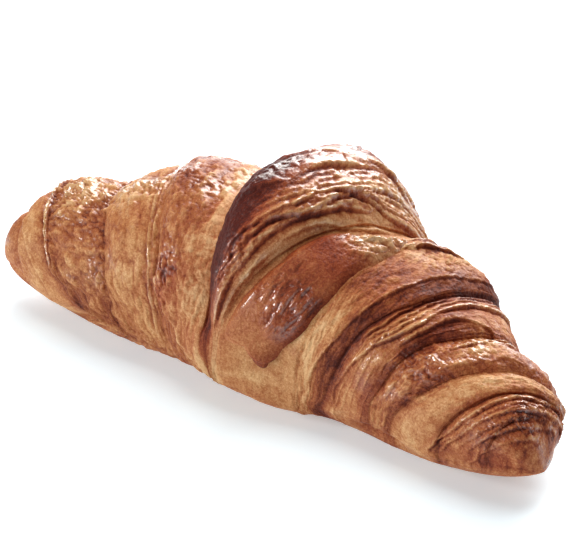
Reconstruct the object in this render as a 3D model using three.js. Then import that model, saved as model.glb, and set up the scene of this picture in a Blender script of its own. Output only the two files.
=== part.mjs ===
// A baked croissant: a long triangle of laminated dough, rolled up from its wide
// end. Each turn of the roll is narrower than the one below it, so its free edges
// show as seams that step down from the middle towards both horns. The point of
// the triangle is the tongue, which comes over the top and ends low on the front.
//
// Frame: +X along the roll, -Y the front, +Z up, millimetres. The origin is the
// middle of the bounding box's underside.

import * as THREE from 'three';

// ---- driving dimensions ----

const LENGTH = 170;
const HALF_LENGTH = LENGTH / 2;

// Height of the roll, without its relief, at places along its length.
const HEIGHTS = [
  { x: -85, height: 31.5 },
  { x: -78, height: 30.5 },
  { x: -64, height: 32 },
  { x: -42, height: 41.5 },
  { x: -21, height: 45.5 },
  { x: 0, height: 50 },
  { x: 21, height: 40 },
  { x: 42, height: 35.5 },
  { x: 64, height: 27.5 },
  { x: 78, height: 24.5 },
  { x: 85, height: 23 },
];

const WIDTH_TO_HEIGHT = 1.28;
const END_BLUNTNESS = 8; // power of the rounding at both ends of the roll
const GIRTH = 0.42; // height of the widest line, as a share of the height
const SIDE_POWER = 0.9; // below 1 the sides of a section are fuller than a circle's
const UNDERSIDE_POWER = 0.6; // below 1 the underside of a section is flatter
const HORN_BEND = 17.5; // how far the ends of the horns bend to the front
const LIFT_START = 0.45; // share of the half length where a horn leaves the tray
const LEFT_LIFT = 10.4;
const RIGHT_LIFT = 10.5;
const TRAY_PRESS = 1; // how much the underside is flattened where it was baked
const ROLL_RADIUS = 27; // turns an angle round the roll into a length

// The seams, from the left horn to the right one. A seam is a ring round the roll
// that leans: `at` is its middle, `lean` how far it swings to either side of it and
// `sweep` how far it runs to the right at the foot of the roll. `left` and `right`
// are the relief of the dough on either side of the seam, and `low` what both come
// to low down. The higher side falls by `drop` to the seam over `reach`.
function seam(name, at, lean, left, right, drop, reach, low, sweep = 0) {
  return { name, at, lean, left, right, drop, reach, low, sweep };
}

const SEAMS = [
  seam('left tip', -78.5, -5, -1.6, -0.6, 0.3, 1.5, -0.3, 2),
  seam('left thin lip', -70, -10, 0.2, 1.1, 0.2, 1, -0.3, 14),
  seam('left valley', -50.7, -11, -0.7, 0.2, 0.4, 3, -0.3, 5),
  seam('left ribbon', -32.7, -13, 0.4, 2.2, 0.8, 2.5, -0.2),
  seam('hump', -12.7, -7, -1.4, 5.4, 6, 10, 1.6),
  seam('tongue, left', 8.4, 11, 1.8, 0.4, 0.5, 2, 2.2),
  seam('tongue, right', 23.5, 5, 2.3, 2.3, 0, 1, 1.8),
  seam('broad ridge', 37.2, 9.8, 2.7, 0.5, 1.5, 5, 0.4, -3.5),
  seam('thin ridge', 49.5, 11, 0, -1, 0.4, 2, -0.5),
  seam('bumpy wrap', 61, 15, 1.3, -0.1, 1, 3.5, -0.4),
  seam('pale wrap', 70, 10, 0.8, -0.5, 0.3, 1.5, 0),
  seam('right tip', 78.5, 5, 0.3, -0.5, 0.2, 1, -0.1),
];

// How far each stretch of dough between two seams swells, from the left horn.
const SWELLS = [0.3, 0.4, 1.3, 1, 2.4, 3, 0, 0, 0.9, 1.2, 0.8, 0.5, 0];

const SEAM_PHASE = THREE.MathUtils.degToRad(60); // where round the roll the seams lean
const SEAM_WIDTH = 0.7; // width of a seam's step
const SEAM_WAVE = 0.7; // how far a seam wanders from its ring
const SWEEP_ANGLE = THREE.MathUtils.degToRad(108); // where round the roll a seam sweeps
const SWEEP_WIDTH = THREE.MathUtils.degToRad(17);
const SWELL_CHANGE = 0.3; // share by which a swelling grows and shrinks round the roll

// The hump and the tongue's bed are the stretches over the middle. They stand highest
// on top, get lower to the back and front, and end at the foot.
const HUMP = 5;
const TONGUE = 6;
const CROWN_TOP = THREE.MathUtils.degToRad(-5);
const CROWN_REACH = THREE.MathUtils.degToRad(95);
const CROWN_SLOPE = THREE.MathUtils.degToRad(60);
const CROWN_LOWEST = 0.4; // share of the crown's relief that is left all round
const FOOT_ANGLE = THREE.MathUtils.degToRad(90);
const FOOT_WIDTH = THREE.MathUtils.degToRad(10);

// The hump's left shoulder is full at the side of the roll and slight on its top.
const SHOULDER_SIDE = THREE.MathUtils.degToRad(45);
const SHOULDER_LEAST = 0.65;

// Low down the wraps run into each other.
const LOW_FROM = THREE.MathUtils.degToRad(70);
const LOW_TO = THREE.MathUtils.degToRad(102);
const LOW_SHARE = 0.85;

// The tongue lies on its bed as a cushion with round rims.
const TONGUE_BACK = THREE.MathUtils.degToRad(-28);
const TONGUE_FOOT = THREE.MathUtils.degToRad(89);
const TONGUE_HEIGHT = 2.6;
const TONGUE_SWELL = 1.7;
const TONGUE_SINK = 0.6;
const TONGUE_RIMS = { left: 2.2, right: 4.5, foot: 3, back: 9 };

// Soft rises and hollows of the dough: their place along the roll and round it from the
// top, their reach both ways and their height.
const BULGES = [
  { x: -78, degrees: 112, width: 6, turn: 16, height: -2.2 },
  { x: -73, degrees: 10, width: 5, turn: 24, height: -0.9 },
  { x: -63, degrees: 110, width: 6, turn: 10, height: 0.8 },
  { x: -60, degrees: -8, width: 5, turn: 18, height: -0.8 },
  { x: -48, degrees: 118, width: 9, turn: 14, height: -2.6 },
  { x: -43, degrees: -17, width: 8, turn: 16, height: 1 },
  { x: -30, degrees: -25, width: 6, turn: 16, height: -1 },
  { x: -14, degrees: -18, width: 7, turn: 14, height: -1.2 },
  { x: -10, degrees: -6, width: 6, turn: 14, height: -1.6 },
  { x: -11, degrees: 120, width: 6, turn: 10, height: -0.8 },
  { x: 12, degrees: 118, width: 8, turn: 14, height: 1.5 },
  { x: 9, degrees: -46, width: 6, turn: 14, height: -1 },
  { x: 25, degrees: -34, width: 5, turn: 14, height: 1.6 },
  { x: 37, degrees: -42, width: 7, turn: 20, height: 2.7 },
  { x: 42, degrees: 116, width: 10, turn: 14, height: -3 },
  { x: 46, degrees: -49, width: 7, turn: 20, height: 1.2 },
  { x: 63, degrees: -50, width: 4, turn: 16, height: -1.6 },
  { x: 80, degrees: -70, width: 6, turn: 30, height: 0.8 },
  { x: 80, degrees: 95, width: 6, turn: 14, height: -1.2 },
];

const PRESSED_FROM = THREE.MathUtils.degToRad(108); // the relief fades from here
const PRESSED_TO = THREE.MathUtils.degToRad(138); // to nothing here, on the tray
const TIP_FADE = 5; // the relief also fades over this length at the tips

// ---- grid ----

const ROWS = 52; // round the roll
const ROW_CROWDING = 0.3; // share by which the rows are closer on top of the roll
const ROW_TOP = THREE.MathUtils.degToRad(20);
const COLUMNS = [5, 5, 6, 6, 7, 10, 10, 7, 6, 6, 5, 4, 5]; // across each stretch
const COLUMN_CROWDING = 0.08; // how much closer the columns are near a seam
const SMALL_STEP = 0.001;

// ---- the smooth roll ----

function smoothStep(value) {
  const t = THREE.MathUtils.clamp(value, 0, 1);
  return t * t * (3 - 2 * t);
}

function bell(value, width) {
  return Math.exp(-((value / width) ** 2));
}

// A quarter circle: rises from 0 at t = 0, upright at first, to 1 at t = 1.
function rounded(t) {
  return Math.sqrt(1 - (1 - THREE.MathUtils.clamp(t, 0, 1)) ** 2);
}

// A smooth curve through the stations, with each slope taken from its neighbours.
function heightAt(x) {
  const last = HEIGHTS.length - 1;
  let index = 0;
  while (index < last - 1 && x > HEIGHTS[index + 1].x) {
    index += 1;
  }
  const slope = (place) => {
    const before = HEIGHTS[Math.max(place - 1, 0)];
    const after = HEIGHTS[Math.min(place + 1, last)];
    return (after.height - before.height) / (after.x - before.x);
  };
  const from = HEIGHTS[index];
  const to = HEIGHTS[index + 1];
  const span = to.x - from.x;
  const t = (x - from.x) / span;
  const rest = 1 - t;
  return (
    (1 + 2 * t) * rest * rest * from.height +
    t * rest * rest * span * slope(index) +
    t * t * (3 - 2 * t) * to.height -
    t * t * rest * span * slope(index + 1)
  );
}

// A point on the smooth roll: x along it, and the angle from the top to the front.
function rollPoint(x, angle) {
  const q = x / HALF_LENGTH;
  const rounding = Math.sqrt(Math.max(1 - Math.abs(q) ** END_BLUNTNESS, 0));
  const height = heightAt(x) * rounding;
  const halfWidth = (WIDTH_TO_HEIGHT * height) / 2;
  const along = Math.max((Math.abs(q) - LIFT_START) / (1 - LIFT_START), 0);
  const lift = (q < 0 ? LEFT_LIFT : RIGHT_LIFT) * along * along;
  const sine = Math.sin(angle);
  const cosine = Math.cos(angle);
  const side = Math.sign(sine) * Math.abs(sine) ** SIDE_POWER;
  const above = (1 - GIRTH) * height * Math.max(cosine, 0);
  const below = GIRTH * height * Math.max(-cosine, 0) ** UNDERSIDE_POWER;
  return new THREE.Vector3(
    x,
    -HORN_BEND * q * q - halfWidth * side,
    GIRTH * height + lift + above - below,
  );
}

// The outward normal of the smooth roll, from two small steps across the point.
function rollNormal(x, angle) {
  const along = rollPoint(x + SMALL_STEP, angle).sub(rollPoint(x - SMALL_STEP, angle));
  const around = rollPoint(x, angle + SMALL_STEP).sub(rollPoint(x, angle - SMALL_STEP));
  return around.cross(along).normalize();
}

// ---- the wraps ----

// Where a seam crosses the roll at an angle: a leaning ring that wanders a little.
function seamPlace(index, angle) {
  const { at, lean, sweep } = SEAMS[index];
  const wander = Math.sin(3 * angle + 2 * index) + 0.5 * Math.sin(5 * angle + index);
  const ring = at + lean * Math.cos(angle + SEAM_PHASE) + (SEAM_WAVE * wander) / 1.5;
  return ring + sweep * bell(angle - SWEEP_ANGLE, SWEEP_WIDTH);
}

// Where a column of the grid lies: its stretch of dough, and its share across it.
function makeColumns() {
  const columns = [];
  COLUMNS.forEach((count, stretch) => {
    for (let step = 0; step < count; step += 1) {
      const even = step / (count - 1);
      let share = even - COLUMN_CROWDING * Math.sin(2 * Math.PI * even);
      if (stretch === 0) {
        share = 1 - Math.cos((even * Math.PI) / 2);
      } else if (stretch === SEAMS.length) {
        share = Math.sin((even * Math.PI) / 2);
      }
      columns.push({ stretch, share });
    }
  });
  return columns;
}

// The two ends of a stretch at an angle.
function stretchEnds(stretch, angle) {
  const isFirst = stretch === 0;
  const isLast = stretch === SEAMS.length;
  return {
    from: isFirst ? -HALF_LENGTH : seamPlace(stretch - 1, angle) + SEAM_WIDTH / 2,
    to: isLast ? HALF_LENGTH : seamPlace(stretch, angle) - SEAM_WIDTH / 2,
  };
}

// 1 above the foot of the hump, 0 below it.
function footShare(angle) {
  return smoothStep((FOOT_ANGLE - angle) / FOOT_WIDTH + 0.5);
}

// How much of the crown's relief stands at an angle round the roll.
function crownShare(angle) {
  const inside = (CROWN_REACH - Math.abs(angle - CROWN_TOP)) / CROWN_SLOPE;
  return CROWN_LOWEST + (1 - CROWN_LOWEST) * smoothStep(inside);
}

// The relief at both ends of a stretch, how far it drops there, and its swelling.
function stretchShape(stretch, angle) {
  const { lerp } = THREE.MathUtils;
  const none = { left: 0, right: 0, drop: 0, reach: 1, low: 0 };
  const before = SEAMS[stretch - 1] ?? none;
  const after = SEAMS[stretch] ?? none;
  const foot = footShare(angle);
  const crown = foot * crownShare(angle);
  const low = LOW_SHARE * smoothStep((angle - LOW_FROM) / (LOW_TO - LOW_FROM));
  let start = before.right;
  let finish = after.left;
  let swell = SWELLS[stretch] * (1 + SWELL_CHANGE * Math.sin(2 * angle + 1.7 * stretch));
  if (stretch === HUMP || stretch === TONGUE) {
    start = lerp(before.low, start, crown);
    finish = lerp(after.low, finish, crown);
    swell *= crown;
  }
  if (stretch === HUMP - 1) {
    finish = lerp(after.low, finish, foot);
  }
  let startDrop = before.right > before.left ? before.drop * (1 - low) : 0;
  if (stretch === HUMP) {
    startDrop *= lerp(SHOULDER_LEAST, 1, smoothStep(angle / SHOULDER_SIDE)) * foot;
  }
  return {
    start: lerp(start, before.low, low),
    finish: lerp(finish, after.low, low),
    swell: swell * (1 - low),
    startDrop,
    finishDrop: after.left > after.right ? after.drop * (1 - low) : 0,
    startReach: before.reach,
    finishReach: after.reach,
  };
}

// What is left of a drop at a distance from the seam.
function dropLeft(distance, reach) {
  return 1 - Math.sin((Math.min(distance / reach, 1) * Math.PI) / 2);
}

// The relief of the tongue between its two long edges.
function tongueRelief(share, fromLeft, toRight, angle) {
  const cushion =
    rounded(fromLeft / TONGUE_RIMS.left) *
    rounded(toRight / TONGUE_RIMS.right) *
    rounded(((TONGUE_FOOT - angle) * ROLL_RADIUS) / TONGUE_RIMS.foot) *
    rounded(((angle - TONGUE_BACK) * ROLL_RADIUS) / TONGUE_RIMS.back);
  const height = TONGUE_HEIGHT + 4 * TONGUE_SWELL * share * (1 - share);
  return height * cushion - TONGUE_SINK * (1 - cushion);
}

// The relief at a place: from one end of its stretch to the other, swollen between
// them, with its bulges. It fades on the tray and at the tips.
function reliefAt(column, x, angle) {
  const { stretch, share } = column;
  const { from, to } = stretchEnds(stretch, angle);
  const shape = stretchShape(stretch, angle);
  const fromLeft = x - from;
  const toRight = to - x;
  let relief = shape.start + (shape.finish - shape.start) * share;
  relief += 4 * shape.swell * share * (1 - share);
  relief -= shape.startDrop * dropLeft(fromLeft, shape.startReach);
  relief -= shape.finishDrop * dropLeft(toRight, shape.finishReach);
  for (const bulge of BULGES) {
    const round = THREE.MathUtils.radToDeg(angle) - bulge.degrees;
    relief += bulge.height * bell(x - bulge.x, bulge.width) * bell(round, bulge.turn);
  }
  if (stretch === TONGUE) {
    relief = Math.max(relief, tongueRelief(share, fromLeft, toRight, angle));
  }
  const pressed = smoothStep((PRESSED_TO - Math.abs(angle)) / (PRESSED_TO - PRESSED_FROM));
  const tip = smoothStep((HALF_LENGTH - Math.abs(x)) / TIP_FADE);
  return relief * pressed * tip;
}

function crustPoint(column, angle) {
  const { from, to } = stretchEnds(column.stretch, angle);
  const x = from + (to - from) * column.share;
  const point = rollPoint(x, angle);
  const relief = reliefAt(column, x, angle);
  if (relief !== 0) {
    point.addScaledVector(rollNormal(x, angle), relief);
  }
  point.z = Math.max(point.z - TRAY_PRESS, 0);
  return point;
}

// ---- the solid ----

// The angle of a row: rows are closer together on top of the roll.
function rowAngle(row) {
  const even = -Math.PI + (2 * Math.PI * row) / ROWS;
  const angle = even - ROW_CROWDING * Math.sin(even - ROW_TOP);
  return THREE.MathUtils.euclideanModulo(angle + Math.PI, 2 * Math.PI) - Math.PI;
}

// Rings of points joined into quads, with one point at each tip of the roll.
function croissantGeometry() {
  const columns = makeColumns();
  const rings = columns.slice(1, -1);
  const points = [crustPoint(columns[0], 0)];
  for (const column of rings) {
    for (let row = 0; row < ROWS; row += 1) {
      points.push(crustPoint(column, rowAngle(row)));
    }
  }
  points.push(crustPoint(columns[columns.length - 1], 0));

  const at = (ring, row) => 1 + ring * ROWS + (row % ROWS);
  const lastPoint = points.length - 1;
  const indices = [];
  for (let row = 0; row < ROWS; row += 1) {
    indices.push(0, at(0, row + 1), at(0, row));
    for (let ring = 0; ring < rings.length - 1; ring += 1) {
      indices.push(at(ring, row), at(ring, row + 1), at(ring + 1, row + 1));
      indices.push(at(ring, row), at(ring + 1, row + 1), at(ring + 1, row));
    }
    indices.push(at(rings.length - 1, row), at(rings.length - 1, row + 1), lastPoint);
  }

  const geometry = new THREE.BufferGeometry().setFromPoints(points);
  geometry.setIndex(indices);
  geometry.computeBoundingBox();
  const middle = geometry.boundingBox.getCenter(new THREE.Vector3());
  geometry.translate(-middle.x, -middle.y, -geometry.boundingBox.min.z);
  geometry.computeVertexNormals();
  return geometry;
}

const bakedCrust = new THREE.MeshStandardMaterial({
  color: 0xb9743a,
  roughness: 0.5,
  metalness: 0,
});

const croissant = new THREE.Mesh(croissantGeometry(), bakedCrust);
croissant.name = 'croissant';

const group = new THREE.Group();
group.add(croissant);

export default group;
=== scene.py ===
"""A baked croissant on a pale floor: overlapping wraps of flaky, egg-washed dough.

The roll is a smooth bent body. Seams run round it as leaning rings, and between two seams
lies a stretch of dough, whose free edge stands proud as a lip over the next, lower stretch.
Every piece is a closed surface worked out on a grid: columns along the roll, rows round it.
All lengths in the tables are in millimetres. Angles are measured from the top of the roll,
positive towards the front, and the tables give them in degrees.
"""

import itertools
import math
from collections import namedtuple

import bpy
import numpy as np
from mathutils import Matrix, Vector


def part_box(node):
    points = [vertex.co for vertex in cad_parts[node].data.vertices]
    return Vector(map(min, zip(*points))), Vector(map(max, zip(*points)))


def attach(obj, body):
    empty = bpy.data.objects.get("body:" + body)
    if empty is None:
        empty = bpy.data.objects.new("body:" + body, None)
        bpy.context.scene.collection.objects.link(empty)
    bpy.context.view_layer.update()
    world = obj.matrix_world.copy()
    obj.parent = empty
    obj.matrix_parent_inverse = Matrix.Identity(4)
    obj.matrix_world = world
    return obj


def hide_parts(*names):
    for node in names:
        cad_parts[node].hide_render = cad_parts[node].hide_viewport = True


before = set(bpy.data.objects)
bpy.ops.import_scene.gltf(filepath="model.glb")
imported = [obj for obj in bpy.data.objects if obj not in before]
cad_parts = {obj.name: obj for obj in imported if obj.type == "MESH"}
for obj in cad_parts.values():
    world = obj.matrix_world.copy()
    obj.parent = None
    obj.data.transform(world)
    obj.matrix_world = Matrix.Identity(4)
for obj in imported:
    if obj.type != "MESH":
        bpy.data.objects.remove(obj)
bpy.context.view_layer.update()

bl_info = {
    "name": "Croissant",
    "version": (1, 0, 0),
    "blender": (4, 5, 0),
    "location": "View3D > Sidebar > Croissant",
    "description": "Builds a baked croissant of laminated dough and the stage it lies on",
    "category": "Object",
}

MILLIMETRE = 0.001
LOW, HIGH = (np.array(corner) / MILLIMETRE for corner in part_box("croissant"))
HALF_LENGTH = (HIGH[0] - LOW[0]) / 2
ROOT = "root"
NODE = "croissant"
CRUST_NAME = "egg_washed_crust"

# ---- the smooth roll ----

# The heights of the sections along the roll, the powers that round its ends, the sections'
# sides and their underside, the share of a section below its widest line, how far the
# horns bend to the front, where they start to lift and by how much, and how deep the tray
# pressed the roll flat. Patterns round the roll are measured at one radius.
HEIGHTS = (
    (-85, 31.5), (-78, 30.5), (-64, 32), (-42, 41.5), (-21, 45.5), (0, 50), (21, 40), (42, 35.5),
    (64, 27.5), (78, 24.5), (85, 23),
)
WIDTH_TO_HEIGHT = 1.28
END_BLUNTNESS = 8
GIRTH = 0.42
SIDE_POWER = 0.9
UNDERSIDE_POWER = 0.6
HORN_BEND = 17.5
LIFT_START = 0.45
LEFT_LIFT = 10.4
RIGHT_LIFT = 10.5
TRAY_PRESS = 1
ROLL_RADIUS = 27

# ---- the seams and the stretches of dough between them ----

SEAM_PHASE = math.radians(60)
SEAM_WIDTH = 0.7
SEAM_WAVE = 0.7
SWEEP_ANGLE = math.radians(108)
SWEEP_WIDTH = math.radians(17)
UNDERCUT = 0.15

# A seam: its middle, how far it leans, the relief on its left and right, how far the
# shoulder of its higher side drops and over what reach, the relief of both its sides low
# down, and how far it sweeps to the right at the foot.
Seam = namedtuple("Seam", "at lean left right drop reach low sweep", defaults=(0,))
SEAMS = (
    Seam(-78.5, -5, -1.6, -0.6, 0.3, 1.5, -0.3, 2),
    Seam(-70, -10, 0.2, 1.1, 0.2, 1, -0.3, 14),
    Seam(-50.7, -11, -0.7, 0.2, 0.4, 3, -0.3, 5),
    Seam(-32.7, -13, 0.4, 2.2, 0.8, 2.5, -0.2),
    Seam(-12.7, -7, -1.4, 5.4, 6, 10, 1.6),
    Seam(8.4, 11, 1.8, 0.4, 0.5, 2, 2.2),
    Seam(23.5, 5, 2.3, 2.3, 0, 1, 1.8),
    Seam(37.2, 9.8, 2.7, 0.5, 1.5, 5, 0.4, -3.5),
    Seam(49.5, 11, 0, -1, 0.4, 2, -0.5),
    Seam(61, 15, 1.3, -0.1, 1, 3.5, -0.4),
    Seam(70, 10, 0.8, -0.5, 0.3, 1.5, 0),
    Seam(78.5, 5, 0.3, -0.5, 0.2, 1, -0.1),
)

# How far each stretch swells between its seams, and how the swell changes round the roll.
SWELLS = (0.3, 0.4, 1.3, 1, 2.4, 3, 0, 0, 0.9, 1.2, 0.8, 0.5, 0)
SWELL_CHANGE = 0.3
SWELL_TURN = 1.7

# The hump is highest on top. Its relief ends at the foot, where one band of dough runs on
# under the hump and the tongue.
HUMP_SEAM = 4
CROWN = (5, 6)
CROWN_TOP = math.radians(-5)
CROWN_REACH = math.radians(95)
CROWN_SLOPE = math.radians(60)
CROWN_LOWEST = 0.4
SHOULDER_RISE = np.radians((0, 45))
SHOULDER_LEAST = 0.65
FOOT_ANGLE = math.radians(90)
FOOT_WIDTH = math.radians(10)

# Where, from and to, the relief sinks low down, the crust dulls and the creases close, by
# how much, and where the tray pressed the crust and left it evenly baked.
SINKING = np.radians((70, 102))
SINK_SHARE = 0.85
DULLING = np.radians((68, 95))
DULL_SHARE = 0.7
CLOSING = np.radians((76, 94))
CLOSE_SHARE = 0.8
PRESSED = np.radians((108, 138))
UNDERSIDE = np.radians((112, 140))
UNDERSIDE_BROWNING = 0.5
TIP_FADE = 5

# A soft rise or hollow: its place along and round the roll, its reach both ways and its
# height.
Bulge = namedtuple("Bulge", "x angle width turn height")
BULGES = (
    Bulge(-78, 112, 6, 16, -2.2),
    Bulge(-73, 10, 5, 24, -0.9),
    Bulge(-63, 110, 6, 10, 0.8),
    Bulge(-60, -8, 5, 18, -0.8),
    Bulge(-48, 118, 9, 14, -2.6),
    Bulge(-43, -17, 8, 16, 1),
    Bulge(-30, -25, 6, 16, -1),
    Bulge(-14, -18, 7, 14, -1.2),
    Bulge(-10, -6, 6, 14, -1.6),
    Bulge(-11, 120, 6, 10, -0.8),
    Bulge(12, 118, 8, 14, 1.5),
    Bulge(9, -46, 6, 14, -1),
    Bulge(25, -34, 5, 14, 1.6),
    Bulge(37, -42, 7, 20, 2.7),
    Bulge(42, 116, 10, 14, -3),
    Bulge(46, -49, 7, 20, 1.2),
    Bulge(63, -50, 4, 16, -1.6),
    Bulge(80, -70, 6, 30, 0.8),
    Bulge(80, 95, 6, 14, -1.2),
)

# ---- what the oven made of the crust, and the light and shade painted on it ----

# How brown each stretch is at five places across it: 0 is pale, 1 is darkest. Near the
# seams the darker values are partly painted shade on and below the lips, and partly
# browner crust.
BROWNING = (
    (0.48, 0.44, 0.4, 0.4, 0.48),
    (0.34, 0.24, 0.26, 0.36, 0.66),
    (0.62, 0.46, 0.42, 0.46, 0.6),
    (0.48, 0.36, 0.34, 0.38, 0.44),
    (0.42, 0.48, 0.4, 0.26, 0.18),
    (0.66, 0.88, 0.62, 0.34, 0.16),
    (0.3, 0.3, 0.3, 0.3, 0.3),
    (0.34, 0.24, 0.28, 0.62, 0.78),
    (0.86, 0.36, 0.29, 0.38, 0.64),
    (0.46, 0.42, 0.42, 0.5, 0.66),
    (0.4, 0.24, 0.2, 0.26, 0.54),
    (0.58, 0.42, 0.42, 0.46, 0.58),
    (0.56, 0.48, 0.46, 0.48, 0.5),
)

# For each stretch: height of its blisters, folds, strands and thin flakes, the distance
# between flakes, the side that they face, how far the strands slant, the shine and the
# redness.
BAKES = (
    (0.12, 0.1, 0.04, 0.12, 2.6, -1, 0, 0.35, 0.3),
    (0.14, 0.24, 0.05, 0.12, 2.8, -1, 0, 0.2, 0.1),
    (0.7, 0.26, 0.03, 0.04, 3, -1, 0, 0.5, 0.12),
    (0.2, 0.5, 0.05, 0.1, 2.6, -1, 0.1, 0.25, 0.12),
    (0.34, 0.34, 0.05, 0.1, 2.4, -1, 0, 0.42, 0.3),
    (0.14, 0.12, 0.06, 0.16, 2.3, 1, 0.1, 0.65, 0.75),
    (0.1, 0.05, 0.05, 0, 3, 1, 0, 0.2, 0.2),
    (0.16, 0.32, 0.15, 0, 2.6, 1, -0.35, 0.1, 0.2),
    (0.14, 0.16, 0.07, 0.3, 1.6, 1, 0, 0.4, 0.45),
    (0.34, 0.26, 0.06, 0.2, 2.8, 1, 0, 0.45, 0.35),
    (0.14, 0.26, 0.07, 0.12, 2.4, 1, 0.2, 0.25, 0.25),
    (0.12, 0.1, 0.06, 0.34, 1.7, 1, 0, 0.5, 0.5),
    (0.15, 0.1, 0.05, 0.3, 1.8, 1, 0, 0.6, 0.45),
)

# The edge of a layer of dough: the side its riser faces, its height, how far its back
# takes to sink away behind it, how far the painted shade reaches in front of its foot, how
# ragged it is, the route of its edge, round the roll and along it, and how pale and glossy it
# is; the paleness is a painted highlight line along the edge.
Ledge = namedtuple("Ledge", "facing height back shade ragged route gloss", defaults=(0,))
LEDGES = (
    Ledge(-1, 0.75, 1.3, 2, 0.1, ((-50, -76.8), (-10, -76.2), (15, -73.2), (34, -70.2), (47, -68),
        (63, -65.2), (76, -62.4)), 2),
    Ledge(-1, 0.35, 2, 0.8, 0.2, ((34, -78), (53, -74.8), (64, -72.5), (82, -68.7), (98, -64))),
    Ledge(-1, 0.35, 1.4, 0.6, 0.2, ((60, -63.4), (84, -57.5), (92, -53), (100, -47.5),
        (108, -43))),
    Ledge(-1, 0.4, 1.2, 0.5, 0.1, ((-60, -48.2), (0, -41.7), (31, -35.6), (64, -28.4),
        (104, -23.4)), 0.5),
    Ledge(-1, 0.4, 1.1, 0.5, 0.1, ((-60, -46.8), (0, -40.3), (31, -34.1), (64, -26.8),
        (104, -21.6))),
    Ledge(-1, 0.8, 2.5, 1.6, 0.3, ((64, -24.8), (76, -22.9), (86, -19), (92, -14.5), (100, -10))),
    Ledge(1, 0.7, 5, 1.2, 0.6, ((-140, -10), (-105, -9), (-80, -8.5), (-55, -8), (-35, -9.5))),
    Ledge(1, 0.7, 5, 1.2, 0.6, ((-140, -2), (-105, -2.5), (-80, -2), (-60, -1.5), (-40, -3.5),
        (-25, -6))),
    Ledge(1, 0.7, 5, 1.2, 0.6, ((-140, 7), (-105, 6), (-80, 5), (-62, 3), (-45, 0.5), (-30, -2))),
    Ledge(1, 0.6, 5, 1.2, 0.5, ((-125, 15), (-80, 16), (-45, 9.5), (-30, 4.5), (-16, 0.1),
        (-9, -3.3), (0, -6.5))),
    Ledge(1, 0.9, 5, 1.2, 0.5, ((-90, 16), (-50, 8.3), (-42, 6.4), (-28, 5.2), (-20, 3.9),
        (-12, 3.2), (-4, 1.6), (3, 0.8), (11, 0.3), (18, -2.3), (27, -5.4))),
    Ledge(1, 0.9, 5, 1.3, 0.6, ((-95, 22), (-60, 16), (-33, 11.5), (-23, 10), (-12, 8.8),
        (-3, 7.6), (4, 5.9), (12, 4.7), (19, 3.6), (30, 1.4), (44, -1.6))),
    Ledge(1, 0.85, 5, 1.3, 0.6, ((-95, 25.5), (-50, 21.3), (-31, 17.5), (-21, 15), (-14, 12),
        (-6, 9.6), (4, 7.9), (15, 6.8), (22, 5), (30, 2.6), (45, 0), (62, -2.4))),
    Ledge(1, 1, 4.5, 1.2, 0.3, ((-8, 12.6), (2, 9.8), (13, 7.9), (25, 5.4), (38, 3), (49, 1.6),
        (57, 0.6), (71, -0.6), (82, -2.4))),
    Ledge(1, 0.55, 3, 0.9, 0.4, ((-20, 18.4), (-5, 15.6), (14, 9.6), (32, 6.4), (42, 4.9), (55, 3),
        (65, 1.4), (76, 0.1))),
    Ledge(1, 0.8, 2.5, 1, 0.3, ((-95, 25.5), (-42, 25.7), (-27, 24.2), (-16, 22.8))),
    Ledge(1, 1.3, 6, 1, 0.3, ((-110, 34), (-60, 34.2), (-42, 31.6), (-31, 29.4), (-22, 27.4),
        (-12, 25.6))),
    Ledge(1, 0.55, 3, 3.4, 0.4, ((-44, 44.4), (-16, 40.6), (2, 37.8), (17, 35.6), (34, 33),
        (52, 29.8), (70, 26.6), (90, 23))),
    Ledge(1, 0.6, 3.6, 0.8, 0.4, ((-50, 46.6), (-18, 44.8), (0, 42.9), (15, 40.7), (32, 38.6),
        (50, 35.2))),
    Ledge(1, 0.8, 4, 1.4, 0.4, ((-100, 52), (-50, 51.6), (-28, 50.7), (-13, 49.2), (1, 47.4),
        (12, 46.5), (24, 45.6), (36, 43.4), (51, 38.4))),
    Ledge(1, 0.45, 2, 0.8, 0.4, ((40, 42.4), (51, 38.4), (70, 34), (92, 29.4))),
    Ledge(1, 0.8, 3.6, 1.6, 0.4, ((-70, 65), (-33, 62), (-21, 59.4), (-17, 56.5), (-7, 53.2),
        (0, 50.6), (11, 48.8), (23, 47.3), (40, 44.6))),
    Ledge(1, 0.5, 3, 0.8, 0.5, ((-70, 68), (-30, 64), (-10, 60.6), (10, 57), (30, 53.6))),
    Ledge(1, 0.9, 2.4, 1.2, 0.3, ((-90, 79.8), (-20, 79.2), (20, 74.6), (39, 71.4), (57, 68.3),
        (81, 63.5), (96, 58.6))),
    Ledge(1, 0.7, 2.2, 1, 0.3, ((-90, 81.4), (-20, 81), (20, 77.8), (47, 73.4), (55, 71.7),
        (78, 67.3), (96, 61.5))),
    Ledge(1, 0.55, 1.8, 0.8, 0.3, ((-60, 83), (0, 82.2), (30, 80.2), (60, 76), (90, 69.8))),
    Ledge(1, 0.6, 1, 2.2, 0.1, ((-50, -75.2), (-10, -74.6), (15, -71.6), (34, -68.6), (47, -66.4),
        (63, -63.6), (76, -60.8))),
    Ledge(1, 0.5, 1.8, 1, 0.4, ((10, 83.2), (40, 81.8), (66, 78.6), (84, 74.6), (100, 70))),
)
EDGE = 0.34
EDGE_FADE = 8

# The jags of an edge: the strength, size and place of each of their noises.
JAGS = ((0.8, 7, 0), (0.6, 2.4, 9), (0.6, 1, 3))

# Between two of the ledges lie thinner layers: the indices of the two, and how many.
THIN_LAYERS = (
    (6, 7, 3), (7, 8, 3), (8, 9, 2), (9, 10, 2), (10, 11, 3), (11, 12, 3), (12, 13, 2),
    (18, 19, 2), (23, 24, 1), (24, 25, 1),
)
THIN_LEDGE = Ledge(1, 0.4, 1.5, 0.6, 0.75, ())
FIRST_LEDGE_SEED = 40

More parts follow.
